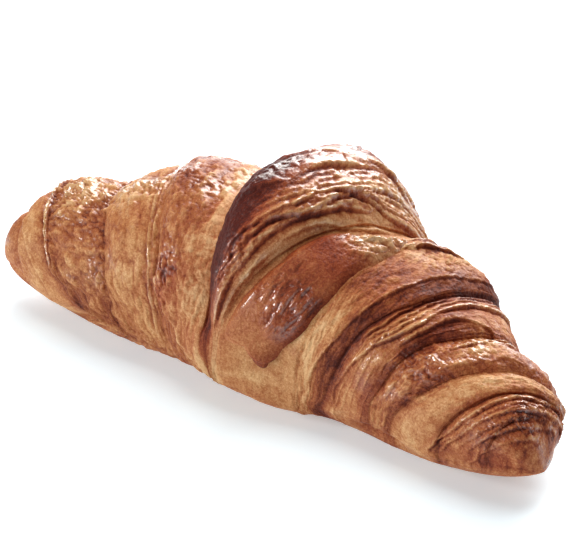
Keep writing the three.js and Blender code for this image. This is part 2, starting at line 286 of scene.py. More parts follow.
# A soft spot: its place along and round the roll and its reach both ways, then how much
# browner, redder, shinier, more blistered and higher the crust is there.
Spot = namedtuple("Spot", "x angle width turn brown red shine blister relief", defaults=(0,) * 5)
SPOTS = (
    # Paler top of the first wrap: partly a painted highlight, with real gloss and blisters.
    Spot(-65, 7, 8, 19, -0.3, -0.6, 0.6, 0.6),
    Spot(-60, 66, 8, 16, 0, 0, -0.4, -0.3),
    Spot(-55.5, 26, 2.6, 22, 0.22, 0.1, 0.2, 0.1, -0.3),
    Spot(-50, 98, 5, 8, 0.26, 0.1, 0.2, 0.1),
    # Paler top of the second wrap: partly a painted highlight, with real gloss and blisters.
    Spot(-46, 14, 8, 16, -0.18, -0.4, 0.6, 0.5),
    Spot(-20.8, 64, 4.8, 15, 0.14, 1, 0.4, 0.8),
    Spot(-27, 6, 8, 20, 0.18, 0, 0.2, 0.45),
    Spot(-14, 76, 5, 12, -0.14, -0.1, -0.4, -0.1),
    Spot(-8.5, 93, 4, 7, 0.2, 0.6, 0.1, -0.3, 0.8),
    Spot(-5.2, 85, 1.6, 4, 0.34, 0.3, 0.4, 0.1, -0.5),
    Spot(-7, 91, 2.6, 7, 0, 0, -0.3, 0, 0.5),
    Spot(-12, 68, 4, 20, 0, 0.3, -0.4, 0.15),
    Spot(4, 107, 14, 9, 0.08, -0.2, -0.4, 0.2),
    Spot(22, 70, 5, 16, -0.14, -0.2),
    Spot(-4, 57, 4, 14, 0.34, 0.2, 0.1, 0.2),
    Spot(-6, 20, 4.5, 18, 0.3, 0.2, 0.1, 0.1),
    Spot(84, 70, 4, 40, 0, 0, -0.9),
    Spot(58, 68, 6, 14, 0, 0, -0.6, -0.1),
    Spot(52, 20, 4, 20, -0.06, 0, 0, 0.1),
    Spot(-12, 15, 4.5, 40, -0.12, 0.3, -1.3, 0.2),
    Spot(-7, 66, 3.5, 16, 0, 0.1, -0.8, 0.1),
    Spot(-4.6, 103, 3.2, 14, -0.44, -0.5, -0.6, 0.1),
    Spot(-6, -100, 9, 40, -0.22, -0.2, -0.3, 0.2),
    Spot(-31, 20, 3, 20, 0, 0, -0.5),
    # Paler top of the third wrap beside the hump: partly a painted highlight.
    Spot(-20, -8, 5, 18, -0.16, -0.5, 0.2, 0.3),
    Spot(28, -34, 4, 16, 0.3, 0.3, 0.1),
    Spot(-5, 34, 5, 17, 0.48, 0, -0.1, 0.1),
    Spot(-5, 8, 4, 11, 0.04, 0.3, 0.35, 0.5),
    Spot(8, -10, 9, 20, -0.06, -0.1, 0.1, 0.5),
    # Pale patch on the hump's top: a painted highlight, with real gloss.
    Spot(-2, -22, 5, 13, -0.34, -0.2, 0.3, -0.1),
    Spot(-19, 26, 4, 14, 0.18, 0.2, 0.2, 0.1),
    # Browner below the tongue's right shoulder: partly painted shade, partly browner crust.
    Spot(29.5, 18, 4.6, 16, 0.42, 0.1, -0.1, 0.2),
    Spot(34, -26, 8, 18, 0.04, -0.8, 0, 0.7),
    # Darker in the hollow at the seam near x = 50: painted shade under the edge of the stretch on
    # its left.
    Spot(50, 10, 3.2, 18, 0.34, 0.1, 0, 0, -0.3),
    # Paler on top near x = 58: a painted highlight, with real gloss and blisters.
    Spot(58, -10, 5, 12, -0.2, 0, 0.2, 0.25),
    Spot(59, 5, 5, 13, -0.04, -0.3, 0.3, 0.2),
    Spot(52, 50, 6, 17, 0.06, 0.3, 0.3, 0.6),
    Spot(80.5, 20, 3.5, 24, 0.1, 0.3, 0.6, 0.6),
    Spot(77, 55, 5, 16, 0.04),
    Spot(77, 98, 7, 14, 0.16, 0.3, -0.3),
    Spot(8, -30, 6, 20, -0.1, -0.2, 0.25),
    Spot(-11.5, -5, 4.5, 18, 0.04, 0.2, -1.2, 0.1),
    Spot(-6, 56, 2.8, 20, -0.06, 0.5, -1.1),
    Spot(3, 55, 4, 20, -0.12, -0.1),
    Spot(32, 3, 4.5, 9, 0.27, 0, -0.2),
)

# What a part of the crust adds: its relief, browning, shine and redness.
Finish = namedtuple("Finish", "relief brown shine red", defaults=(0,) * 4)
# Creases are painted darker, as painted shade, and made duller.
CREASE_SHADE_AND_DULLING = Finish(brown=0.12, shine=-0.5)
FULL_CREASE = 1.2
# A layer's riser and the crust in front of its foot get painted shade and are duller; its edge is
# paler, partly pale dough and partly a painted highlight, and glossier.
RISER_SHADE_AND_DULLING = Finish(brown=0.45, shine=-0.6)
PALE_EDGE_AND_HIGHLIGHT = Finish(brown=-0.18, shine=0.45)
# A flake's drop and its foot get painted shade; its edge is paler, partly pale dough and partly a
# painted highlight.
FLAKE_PAINTED_SHADE = Finish(brown=0.2)
FLAKE_EDGE = Finish(brown=-0.14)

# Noise over the crust: its seed, the size of its patches across the seams and round the
# roll, what it adds, how sharp the ridges are where it crosses zero, and its slant.
Pattern = namedtuple(
    "Pattern", "seed across around relief brown shine red sharp slant", defaults=(0,) * 6)
CRUST_PATTERNS = (
    Pattern(1, 13, 15, 0.5, 0.1),
    Pattern(15, 3.4, 4.5, 0.16),
    Pattern(9, 6, 7, 0, 0.12),
    Pattern(13, 2.2, 2.8, 0, 0.1),
    Pattern(10, 5, 6, 0, 0, 0.55),
    Pattern(11, 12, 12, 0, 0, 0, 0.35),
)
STRANDS = (Pattern(2, 1, 9, 1, 0.8), Pattern(3, 0.6, 4, 0.5, 0.4))
# The bubbles' and pimples' tops are painted paler, a painted highlight; the net's creases are
# painted darker, painted shade.
BUBBLES = Pattern(4, 3, 3, 1.3, -0.5)
PIMPLES = Pattern(5, 1.2, 1.2, 0.5, -0.25)
NET = Pattern(12, 2, 2.4, -0.4, 0.25, sharp=4)
FOLDS = Pattern(16, 3, 9, 1.6, -0.25, sharp=7, slant=0.15)
FINE_FOLDS = Pattern(17, 1.4, 4, 0.7, sharp=7, slant=-0.2)
# The brown lines along the folds' valleys are painted shade.
FOLD_SHADE = Finish(brown=0.35)
FINE_FOLD_SHADE = Finish(brown=0.21)
FLAKE_WANDER, WANDER = Pattern(6, 9, 18), 0.8
FLAKE_JAGS, JAGGEDNESS = Pattern(7, 3, 4), 0.22
FLAKE_SEED, FLAKE_LENGTH, FLAKE_STEP = 8, 11, 5.31
UNDERSIDE_PATCHES = Pattern(14, 4, 4, brown=0.2)

# ---- the tongue: the end of the dough, rolled up last and lying on the hump's right ----

# Its left and right edges, along the roll at places round it, and its foot, round the roll
# at shares across it.
TONGUE_LEFT = (
    (-30, 24.6), (-22, 24.2), (-14, 22.6), (-5, 19.8), (2, 16.4), (7, 13.7), (14, 11.5), (23, 10),
    (32, 8.6), (42, 7.4), (55, 5), (65, 2.9), (74, 1.4), (86, -0.4), (100, -1.4),
)
TONGUE_RIGHT = (
    (-30, 25.6), (-22, 26), (-14, 26.7), (-4, 27), (7, 26.5), (21, 25.6), (30, 25), (42, 23.8),
    (52, 22), (64, 20.3), (74, 17.9), (80, 16.2), (90, 14.6), (100, 13.4),
)
TONGUE_FOOT = (
    (0, 84), (0.12, 88), (0.3, 88), (0.42, 87.5), (0.54, 90.5), (0.66, 92), (0.78, 92),
    (0.88, 89.5), (0.95, 85), (1, 78),
)
TONGUE_BACK = -28
TONGUE_HEIGHT = 2.6
TONGUE_SWELL = 1.7
TONGUE_SINK = 0.6
TONGUE_DEPTH = 0.8
TONGUE_INSET = 0.03
TONGUE_BROWNING = 0.49
TONGUE_SHINE = 0.75
TONGUE_REDNESS = 0.75
TONGUE_BLISTERS = 0.06

# How far the rounding of each rim reaches: left, right, foot and back.
TONGUE_RIMS = (2.2, 4.5, 3, 9)
TONGUE_GRID = (110, 260)
TONGUE_SPOTS = (
    Spot(17, 22, 7, 13, 0.22, 0.4, -0.5),
    # Paler top of the tongue: a painted highlight, with real gloss and blisters.
    Spot(19.5, -3, 7.5, 15, -0.44, -0.5, 0.6, 1.5),
    Spot(8, 84, 10, 13, -0.04, -0.2, -0.8),
    Spot(10, 90, 3.5, 5, 0.18, 0.1, 0, 0, 0.5),
    Spot(3, 78, 5, 14, -0.06, -0.3, -0.1),
)
TONGUE_PATTERNS = (
    Pattern(21, 9, 10, 0.35),
    Pattern(22, 5, 6, 0, 0.12),
    Pattern(23, 5, 6, 0, 0, 0.2),
    Pattern(24, 8, 9, 0, 0, 0, 0.25),
)

# The wrinkled patch, its uneven edge, its worm-like ridges of two sizes and its knots.
WRINKLED = Spot(14.6, 55, 8, 20, brown=0.24, shine=0.3)
WRINKLE_EDGE = Pattern(26, 5, 6)
WORMS = (Pattern(25, 2.2, 7, 0.45, -0.14, sharp=2.8), Pattern(28, 1.3, 3, 0.225, -0.07, sharp=3.5))
KNOTS = Pattern(27, 1.6, 2.2, 0.4)

# The tongue's rims: painted shade on the left, browner at the foot, dull with painted shade low on
# the right.
LEFT_RIM_SHADE = Finish(brown=0.3)
FOOT_RIM = Finish(brown=0.2)
DULL_RIM = Finish(shine=-1.2)
RIGHT_RIM_SHADE = Finish(brown=0.26)
RIM_WIDTH = 0.8
LOW_RIGHT = np.radians((6, 26))

# ---- the grids ----

# The rows round the roll are sparse at the back and below. They grow dense and sparse
# again between these angles.
ROWS = 440
SIDE_ROWS = 90
SPARSE = 0.45
GROWING_DENSE = np.radians((-110, -80))
GROWING_SPARSE = np.radians((118, 135))
STRETCH_COLUMNS = (24, 34, 62, 62, 88, 130, 26, 84, 74, 56, 40, 34, 34)
LIP_COLUMNS = 12
PIECES = (
    ("left_horn", 0, 2),
    ("left_wraps", 3, 4),
    ("hump", 5, 6),
    ("right_wraps", 7, 8),
    ("right_horn", 9, 12),
)

# An open end is tucked under the next piece: how far a ring is drawn in towards the roll's
# middle, how far it moves along, and how far along the point that closes it lies.
TUCK_SHARE = 0.1
TUCK_SHIFT = 1.5
TUCK_POINT = 4

# ---- the stage ----

TARGET = Vector((-0.005, -0.005, 0.025))
AZIMUTH = math.radians(39.8)
ELEVATION = math.radians(28)
DISTANCE = 0.7
LENS = 177

# The lights: where each stands, its size, whether it lights colours and whether it shows
# in gloss. Its power is the property of the stage that has its name.
LIGHTS = (
    ("back", (-0.3, 0.95, 0.62), 0.7, True, True),
    ("top", (0, 0.1, 1.1), 0.8, True, False),
    ("fill", (-0.58, -0.77, 0.42), 0.22, True, True),
    ("back_gleam", (-0.3, 0.95, 0.62), 0.9, False, True),
    ("left_gleam", (-0.75, 0.75, 0.28), 0.35, False, True),
    ("front_gleam", (-0.58, -0.77, 0.42), 0.15, False, True),
)


def smooth_step(value, low=0.0, high=1.0):
    """Rises from 0 at low to 1 at high, level at both ends."""
    t = np.clip((value - low) / (high - low), 0, 1)
    return t * t * (3 - 2 * t)


def rounded(t):
    """A quarter circle: rises from 0 at t = 0, upright at first, to 1 at t = 1."""
    return np.sqrt(1 - (1 - np.clip(t, 0, 1)) ** 2)


def arch(share):
    """0 at both ends and 1 in the middle."""
    return 4 * share * (1 - share)


def bell(value, width):
    """1 at a value of 0, and near 0 from twice the width."""
    return np.exp(-((value / width) ** 2))


def ridges(noise, pattern):
    """1 along the lines where a pattern's noise crosses zero, 0 off them."""
    return np.clip(1 - pattern.sharp * np.abs(noise), 0, 1)


def blend(a, b, share):
    return a + (b - a) * share


def dense_ends(count):
    """Shares from 0 to 1, closer together near both ends."""
    even = np.linspace(0, 1, count)
    return even - 0.08 * np.sin(2 * math.pi * even)


def curve_through(stations, x):
    """A smooth curve through the stations, each slope taken from the station's neighbours."""
    places, values = np.array(stations, float).T
    slopes = np.empty_like(values)
    slopes[1:-1] = (values[2:] - values[:-2]) / (places[2:] - places[:-2])
    slopes[0] = (values[1] - values[0]) / (places[1] - places[0])
    slopes[-1] = (values[-1] - values[-2]) / (places[-1] - places[-2])
    i = np.clip(np.searchsorted(places, x) - 1, 0, len(places) - 2)
    span = places[i + 1] - places[i]
    t = (x - places[i]) / span
    rest = 1 - t
    ends = (1 + 2 * t) * rest**2 * values[i] + t * t * (3 - 2 * t) * values[i + 1]
    return ends + t * rest * span * (rest * slopes[i] - t * slopes[i + 1])


class Noise:
    """Smooth seeded noise in space: random slopes on a lattice, blended between corners."""

    SIZE = 256
    GAIN = 1.6

    def __init__(self, seed):
        draw = np.random.default_rng(seed)
        self.order = np.tile(draw.permutation(self.SIZE), 2)
        slopes = draw.normal(size=(self.SIZE, 3))
        self.slopes = slopes / np.linalg.norm(slopes, axis=1, keepdims=True)

    def __call__(self, x, y, z):
        place = np.stack(np.broadcast_arrays(x, y, z), -1)
        cell = np.floor(place).astype(int)
        part = place - cell
        ease = part**3 * (part * (part * 6 - 15) + 10)
        total = np.zeros(place.shape[:-1])
        for corner in itertools.product((0, 1), repeat=3):
            i, j, k = np.moveaxis((cell + corner) % self.SIZE, -1, 0)
            slope = self.slopes[self.order[self.order[self.order[i] + j] + k]]
            weight = np.prod(np.where(corner, ease, 1 - ease), axis=-1)
            total += weight * ((part - corner) * slope).sum(-1)
        return total * self.GAIN


def ring_noise(seed, size, angle, place=0.0):
    """Noise round the roll in waves of a size, and along it by an extra place."""
    turn = ROLL_RADIUS / size
    return Noise(seed)(place, turn * np.cos(angle), turn * np.sin(angle))


# ---- the roll ----


def end_rounding(x):
    """How much of its size a section keeps: all of it mid-roll, none at the tips."""
    return np.sqrt(np.clip(1 - np.abs(x / HALF_LENGTH) ** END_BLUNTNESS, 0, 1))


def roll_point(x, angle):
    """The smooth roll: sections of a height and width that change along it, with flat
    undersides, their middle line bent to the front and lifted at both horns."""
    q = x / HALF_LENGTH
    height = curve_through(HEIGHTS, x) * end_rounding(x)
    along = np.clip((np.abs(q) - LIFT_START) / (1 - LIFT_START), 0, None)
    lift = np.where(q < 0, LEFT_LIFT, RIGHT_LIFT) * along**2
    sine, cosine = np.sin(angle), np.cos(angle)
    side = np.sign(sine) * np.abs(sine) ** SIDE_POWER * WIDTH_TO_HEIGHT * height / 2
    above = (1 - GIRTH) * height * np.clip(cosine, 0, None)
    below = GIRTH * height * np.clip(-cosine, 0, None) ** UNDERSIDE_POWER
    up = GIRTH * height + lift + above - below
    return np.stack([x + 0 * angle, -HORN_BEND * q * q - side, up], -1)


def roll_normal(x, angle):
    """The smooth roll's outward normal, from small steps along it and round it."""
    step = 0.001
    inside = np.clip(x, step - HALF_LENGTH, HALF_LENGTH - step)
    along = roll_point(inside + step, angle) - roll_point(inside - step, angle)
    around = roll_point(x, angle + step) - roll_point(x, angle - step)
    normal = np.cross(around, along)
    length = np.linalg.norm(normal, axis=-1, keepdims=True)
    return normal / np.maximum(length, 1e-12)


def roll_axis(x):
    """The middle of the roll at x, deep inside the dough."""
    q = x / HALF_LENGTH
    up = GIRTH * curve_through(HEIGHTS, np.array([x]))[0]
    return np.array([x, -HORN_BEND * q * q, up])


def seam_place(index, angle):
    """Where a seam crosses the roll at an angle: a leaning ring that wanders a little, and
    that may sweep to the right near the foot. Before the first and after the last seam it
    is a tip of the roll."""
    if index < 0:
        return np.full_like(angle, -HALF_LENGTH)
    if index >= len(SEAMS):
        return np.full_like(angle, HALF_LENGTH)
    seam = SEAMS[index]
    wander = np.sin(3 * angle + 2 * index) + 0.5 * np.sin(5 * angle + index)
    sweep = seam.sweep * bell(angle - SWEEP_ANGLE, SWEEP_WIDTH)
    return seam.at + seam.lean * np.cos(angle + SEAM_PHASE) + SEAM_WAVE * wander / 1.5 + sweep


def foot_share(angle):
    """1 above the foot of the hump, 0 below it."""
    return smooth_step((FOOT_ANGLE - angle) / FOOT_WIDTH + 0.5)


def crown_share(angle):
    """How much of the crown's relief there is at an angle: all of it on top."""
    inside = (CROWN_REACH - np.abs(angle - CROWN_TOP)) / CROWN_SLOPE
    return CROWN_LOWEST + (1 - CROWN_LOWEST) * smooth_step(inside)


def pressed_share(x, angle):
    """1 where the crust is free, 0 where the tray pressed it flat and at the tips."""
    free = 1 - smooth_step(np.abs(angle), *PRESSED)
    return free * smooth_step((HALF_LENGTH - np.abs(x)) / TIP_FADE)


class Shapes:
    """How each stretch stands at each angle: the relief at its start and finish, its swell,
    the drop and reach of the shoulders at both ends, and what relief is left at its edges."""

    def __init__(self, angles):
        plain = Seam(0, 0, 0, 0, 0, 1, 0)
        before, after = (plain, *SEAMS), (*SEAMS, plain)

        def table(values):
            return np.array(list(values), float)[:, None] + 0 * angles

        start = table(seam.right for seam in before)
        finish = table(seam.left for seam in after)
        swell = table(SWELLS)
        start_low = table(seam.low for seam in before)
        finish_low = table(seam.low for seam in after)
        foot = foot_share(angles)
        crown = foot * crown_share(angles)
        for stretch in CROWN:
            start[stretch] = blend(start_low[stretch], start[stretch], crown)
            finish[stretch] = blend(finish_low[stretch], finish[stretch], crown)
            swell[stretch] *= crown
        finish[HUMP_SEAM] = blend(finish_low[HUMP_SEAM], finish[HUMP_SEAM], foot)
        low = SINK_SHARE * smooth_step(angles, *SINKING)
        turn = SWELL_TURN * np.arange(len(before))[:, None]
        self.start = blend(start, start_low, low)
        self.finish = blend(finish, finish_low, low)
        self.swell = blend(swell, 0, low) * (1 + SWELL_CHANGE * np.sin(2 * angles + turn))
        self.start_drop = table(seam.drop * (seam.right > seam.left) for seam in before)
        self.finish_drop = table(seam.drop * (seam.left > seam.right) for seam in after)
        self.start_drop *= 1 - low
        self.finish_drop *= 1 - low
        self.start_reach = table(seam.reach for seam in before)
        self.finish_reach = table(seam.reach for seam in after)
        side = smooth_step(angles, *SHOULDER_RISE)
        self.start_drop[HUMP_SEAM + 1] *= blend(SHOULDER_LEAST, 1, side) * foot
        self.start_edge = self.start - self.start_drop
        self.finish_edge = self.finish - self.finish_drop


def row_angles(count):
    """Angles round the roll, closer together where the crust shows most."""
    samples = np.linspace(-math.pi, math.pi, 2001)
    shown = smooth_step(samples, *GROWING_DENSE) * (1 - smooth_step(samples, *GROWING_SPARSE))
    density = SPARSE + shown
    total = np.concatenate([[0], np.cumsum((density[1:] + density[:-1]) / 2)])
    places = np.interp(np.linspace(0, total[-1], count + 1), total, samples)
    return places[:-1]


def make_columns(first, last, lip_before, lip_after):
    """Columns from stretch first to stretch last. Each has a stretch, a share across it,
    and a way over the lip on its left, which is -1 on a column that isn't on a lip."""
    lip = [(0.0, (step + 1) / (LIP_COLUMNS + 1)) for step in range(LIP_COLUMNS)]
    rows = []
    for stretch in range(first, last + 1 + lip_after):
        if stretch > first or lip_before:
            rows += [(stretch, *place) for place in lip]
        if stretch > last:
            break
        share = dense_ends(STRETCH_COLUMNS[stretch])
        even = np.linspace(0, 1, STRETCH_COLUMNS[stretch])
        if stretch == 0:
            share = 1 - np.cos(even * math.pi / 2)
        if stretch == len(SEAMS):
            share = np.sin(even * math.pi / 2)
        rows += [(stretch, place, -1.0) for place in share]
    return np.array(rows).T


# ---- the crust ----


class Dough:
    """A grid of places on the roll with the relief and the finish of the crust there."""

    def noise(self, pattern, slant=0.0):
        """Noise in patches of the pattern's sizes, which may slant by some millimetres along
        the roll for each one round it."""
        turn = ROLL_RADIUS * end_rounding(self.x) / pattern.around
        slant = (slant + pattern.slant) * ROLL_RADIUS * self.angle
        along = (self.at + slant) / pattern.across
        return Noise(pattern.seed)(along, turn * np.cos(self.angle), turn * np.sin(self.angle))

    def near(self, place):
        """1 at a bulge's or spot's place, fading over its reach along and round the roll."""
        turn = np.degrees(self.angle) - place.angle
        return bell(self.x - place.x, place.width) * bell(turn, place.turn)

    def add(self, amount, item):
        """Adds an amount of what a finish, pattern or spot brings to the crust."""
        self.relief += item.relief * amount
        self.browning += item.brown * amount
        self.shine += item.shine * amount
        self.redness += item.red * amount

    def add_patterns(self, patterns, amount=1, slant=0.0):
        for pattern in patterns:
            self.add(amount * self.noise(pattern, slant), pattern)

    def add_spots(self, spots):
        for spot in spots:
            here = self.near(spot)
            self.add(here, spot)
            self.blisters += spot.blister * here

    def add_blisters(self):
        """Small bubbles of two sizes, painted paler on top as a painted highlight, in a net of
        fine creases painted darker as painted shade, which follow the lines where a noise crosses
        zero."""
        amount = self.look.blisters * np.clip(self.blisters, 0, None)
        self.add(amount * np.clip(self.noise(BUBBLES) + 0.15, 0, None) ** 1.2, BUBBLES)
        self.add(amount * self.noise(PIMPLES), PIMPLES)
        self.add(amount * ridges(self.noise(NET), NET) ** 1.5, NET)

    def points(self):
        """The roll's points moved out along its normals by the relief, and cut off flat
        where the tray is."""
        free = pressed_share(self.x, self.angle)
        out = roll_normal(self.x, self.angle) * (self.relief * free)[..., None]
        point = roll_point(self.x, self.angle) + out
        point[..., 2] = np.maximum(point[..., 2] - TRAY_PRESS, 0)
        return point

    def values(self):
        """What the material reads: the finish, and the place on the unbent roll."""
        radius = ROLL_RADIUS * end_rounding(self.x)
        ring = [self.at, radius * np.cos(self.angle), radius * np.sin(self.angle)]
        return {
            "browning": np.clip(self.browning + self.look.browning, 0, 1),
            "shine": np.clip(self.shine * self.look.shine, 0, 1),
            "redness": np.clip(self.redness, 0, 1),
            "wrap": np.stack(ring, -1),
        }


class Crust(Dough):
    """The grid of one piece of the wraps: columns along the roll, rows round it."""

    def __init__(self, look, columns, angles):
        self.look = look
        stretch, self.share, self.way = (part[:, None] for part in columns)
        self.stretch = stretch.astype(int)
        self.on_lip = self.way >= 0
        self.way = np.clip(self.way, 0, 1)
        self.angle = np.broadcast_to(angles, (len(stretch), len(angles)))
        self.lay_out(angles)
        self.bake(angles)

    def lay_out(self, angles):
        """Places the columns between the seams and over their lips, and gives the relief:
        an S-shaped rise over a lip, and a swollen stretch with round shoulders between two
        lips."""
        left = self.stretch[:, 0]
        shapes = Shapes(angles)
        seams = np.array([seam_place(i, angles) for i in range(-1, len(SEAMS) + 1)])
        half = np.array([0] + [SEAM_WIDTH / 2] * len(SEAMS) + [0])[:, None]
        between = blend(seams[left] + half[left], seams[left + 1] - half[left + 1], self.share)
        top = blend(shapes.start[left], shapes.finish[left], self.share)
        top = top + shapes.swell[left] * arch(self.share)
        for end, drop, reach in (
            (left, shapes.start_drop, shapes.start_reach),
            (left + 1, shapes.finish_drop, shapes.finish_reach),
        ):
            away = np.abs(between - seams[end]) / reach[left]
            top = top - drop[left] * (1 - np.sin(np.clip(away, 0, 1) * math.pi / 2))
        before, after = shapes.finish_edge[left - 1], shapes.start_edge[left]
        rise = np.where(left[:, None] > 0, after - before, 0)
        tuck = UNDERCUT * np.abs(rise) * pressed_share(between, self.angle)
        lip = SEAM_WIDTH * (self.way - 0.5) + tuck * np.sin(2 * math.pi * self.way)
        self.x = np.where(self.on_lip, seams[left] + lip, between)
        self.relief = np.where(self.on_lip, blend(before, after, smooth_step(self.way)), top)
        for bulge in BULGES:
            self.relief += bulge.height * self.near(bulge)
        ahead = shapes.start_edge[np.clip(left + 1, 0, len(SEAMS))] - shapes.finish_edge[left]
        gaps = self.x - seams[left], seams[left + 1] - self.x
        # How deep in a crease each place is; bake paints shade by it.
        self.crease = self.shade_creases(rise, ahead, *gaps)
        self.crease *= 1 - CLOSE_SHARE * smooth_step(angles, *CLOSING)
        middles = np.array([-HALF_LENGTH] + [seam.at for seam in SEAMS] + [HALF_LENGTH])
        self.at = blend(middles[left][:, None], middles[left + 1][:, None], self.share)
        self.at = self.at + SEAM_WIDTH * np.where(self.on_lip, self.way - 0.5, 0) + 0 * self.x

    def shade_creases(self, rise, ahead, from_left, from_right):
        """How deep in a crease each place is, which sets its painted shade: at the foot of a lip
        that rises by rise on the left or by ahead on the right, and low on the lip itself."""
        deep_left = np.clip(-rise / FULL_CREASE, 0, 1) * bell(from_left, 1.0)
        deep_right = np.clip(ahead / FULL_CREASE, 0, 1) * bell(from_right, 1.0)
        low = np.where(rise > 0, 1 - self.way, self.way)
        on_lip = np.clip(np.abs(rise) / FULL_CREASE, 0, 1) * smooth_step(low, 0.1, 0.7)
        return np.where(self.on_lip, on_lip, deep_left + deep_right)

    def per_stretch(self, values):
        """A value of each stretch, blended from one stretch to the next over the lips."""
        values = np.array(values, float)
        here = values[self.stretch]
        before = values[np.clip(self.stretch - 1, 0, None)]
        share = np.where(self.on_lip, self.way, 1)
        return blend(before, here, share) + 0 * self.x

    def browning_across(self):
        """The browning of the stretches, blended between the five places across each."""
        table = np.array(BROWNING)
        last = table.shape[1] - 1
        place = self.share * last
        cell = np.clip(place.astype(int), 0, last - 1)
        inside = blend(table[self.stretch, cell], table[self.stretch, cell + 1], place - cell)
        before = table[np.clip(self.stretch - 1, 0, None), last]
        lip = blend(before, table[self.stretch, 0], self.way)
        return np.where(self.on_lip, lip, inside) + 0 * self.x

    def add_folds(self, height):
        """Winding folds that run round the roll: valleys where a noise crosses zero, with
        a brown line of painted shade along each."""
        for folds, line in ((FOLDS, FOLD_SHADE), (FINE_FOLDS, FINE_FOLD_SHADE)):
            fold = np.abs(self.noise(folds))
            self.add(height * fold, folds)
            self.add(height * ridges(fold, folds), line)

    def add_flakes(self, height, spacing, facing):
        """Thin flakes: a sawtooth across each stretch. Each flake has a height of its own
        that comes and goes round the roll. The drop and its foot get painted shade, and the
        edge above it is paler, partly pale dough and partly a painted highlight."""
        wander = WANDER * self.noise(FLAKE_WANDER) + JAGGEDNESS * self.noise(FLAKE_JAGS)
        turn = self.at / spacing + wander
        layer = np.floor(turn)
        part = turn - layer
        part = np.where(facing > 0, part, 1 - part)
        own = ring_noise(FLAKE_SEED, FLAKE_LENGTH, self.angle, layer * FLAKE_STEP)
        height = height * smooth_step(own, -0.25, 0.45)
        tooth = part**1.6 * (1 - smooth_step(part, 0.88, 1.0))
        amount = np.clip(height / 0.35, 0, 1)
        self.relief += height * tooth
        # Painted shade at the drop and its foot, and a paler edge, partly a painted highlight.
        self.add(amount * (bell(part, 0.12) + bell(part - 1, 0.07)), FLAKE_PAINTED_SHADE)
        self.add(amount * bell(part - 0.78, 0.10), FLAKE_EDGE)

    def add_ledges(self, angles):
        """The edges of the main layers, and of the thin layers that lie between two."""
        degrees = np.degrees(angles)
        routes, fades = [], []
        for ledge in LEDGES:
            first, last = ledge.route[0][0], ledge.route[-1][0]
            fade = smooth_step(degrees, first - EDGE_FADE, first + EDGE_FADE)
            fade *= 1 - smooth_step(degrees, last - EDGE_FADE, last + EDGE_FADE)
            routes.append(curve_through(ledge.route, np.clip(degrees, first, last)))
            fades.append(fade)
        edges = list(zip(LEDGES, routes, fades))
        for one, other, count in THIN_LAYERS:
            fade = np.minimum(fades[one], fades[other])
            for share in np.arange(1, count + 1) / (count + 1):
                edges.append((THIN_LEDGE, blend(routes[one], routes[other], share), fade))
        for seed, edge in enumerate(edges, FIRST_LEDGE_SEED):
            self.add_ledge(seed, angles, *edge)

    def add_ledge(self, seed, angles, ledge, route, fade):
        """The ragged edge of a layer: it rises over its riser and sinks away behind. Its edge is
        paler, partly pale dough and partly a painted highlight, and its riser and the crust in
        front of its foot get painted shade."""
        jag = sum(strength * ring_noise(seed, size, angles, at) for strength, size, at in JAGS)
        own = np.clip(0.9 + 0.8 * ring_noise(seed, 9, angles, 4.0), 0.3, 1.3)
        height = self.look.edges * ledge.height * own * fade
        behind = (route + ledge.ragged * jag - self.x) * ledge.facing
        riser = smooth_step(behind, -EDGE, 0)
        back = 1 - smooth_step(behind, 0, ledge.back)
        groove = 0.2 * bell(behind + 1.3 * EDGE, EDGE)
        self.relief += height * (np.where(behind < 0, riser, back) - groove)
        amount = np.clip(height / 0.8, 0, 1)
        ahead = np.clip(-behind - EDGE, 0, None)
        # Painted shade on the riser and in front of its foot.
        shade = 0.6 * bell(ahead, 0.35) + 0.4 * np.exp(-ahead / ledge.shade)
        shade = shade * smooth_step(-behind, -0.1, EDGE)
        # The pale edge: partly pale dough and partly a painted highlight, which gloss widens into
        # a highlight line.
        brow = bell(behind - 0.4, 0.5)
        pale = bell(behind - 0.25, 0.28 + 0.3 * ledge.gloss) + 0.5 * brow
        pale = pale * (1 + ledge.gloss)
        self.add(amount * shade, RISER_SHADE_AND_DULLING)
        self.add(amount * pale, PALE_EDGE_AND_HIGHLIGHT)
        self.shine += ledge.gloss * fade * brow

    def bake(self, angles):
        """Adds what the oven made: uneven swelling, layers, flakes, strands and blisters, with
        painted shade in the creases and painted highlights on some edges and tops.
        """
        (self.blisters, folds, strands, flakes, spacing, facing, slant, self.shine,
         self.redness) = (self.per_stretch(column) for column in zip(*BAKES))
        self.browning = self.browning_across()
        # Painted shade in the creases, which are also duller.
        self.add(self.crease, CREASE_SHADE_AND_DULLING)
        self.add_patterns(CRUST_PATTERNS)
        self.add_patterns(STRANDS, strands, slant)
        self.add_folds(folds)
        self.add_flakes(flakes, spacing, facing)
        self.add_ledges(angles)
        self.add_spots(SPOTS)
        self.add_blisters()
        under = smooth_step(np.abs(self.angle), *UNDERSIDE)
        even = self.noise(UNDERSIDE_PATCHES) * UNDERSIDE_PATCHES.brown + UNDERSIDE_BROWNING
        self.browning = blend(self.browning, even, under)
        self.shine *= 1 - under
        self.shine *= 1 - DULL_SHARE * smooth_step(self.angle, *DULLING)


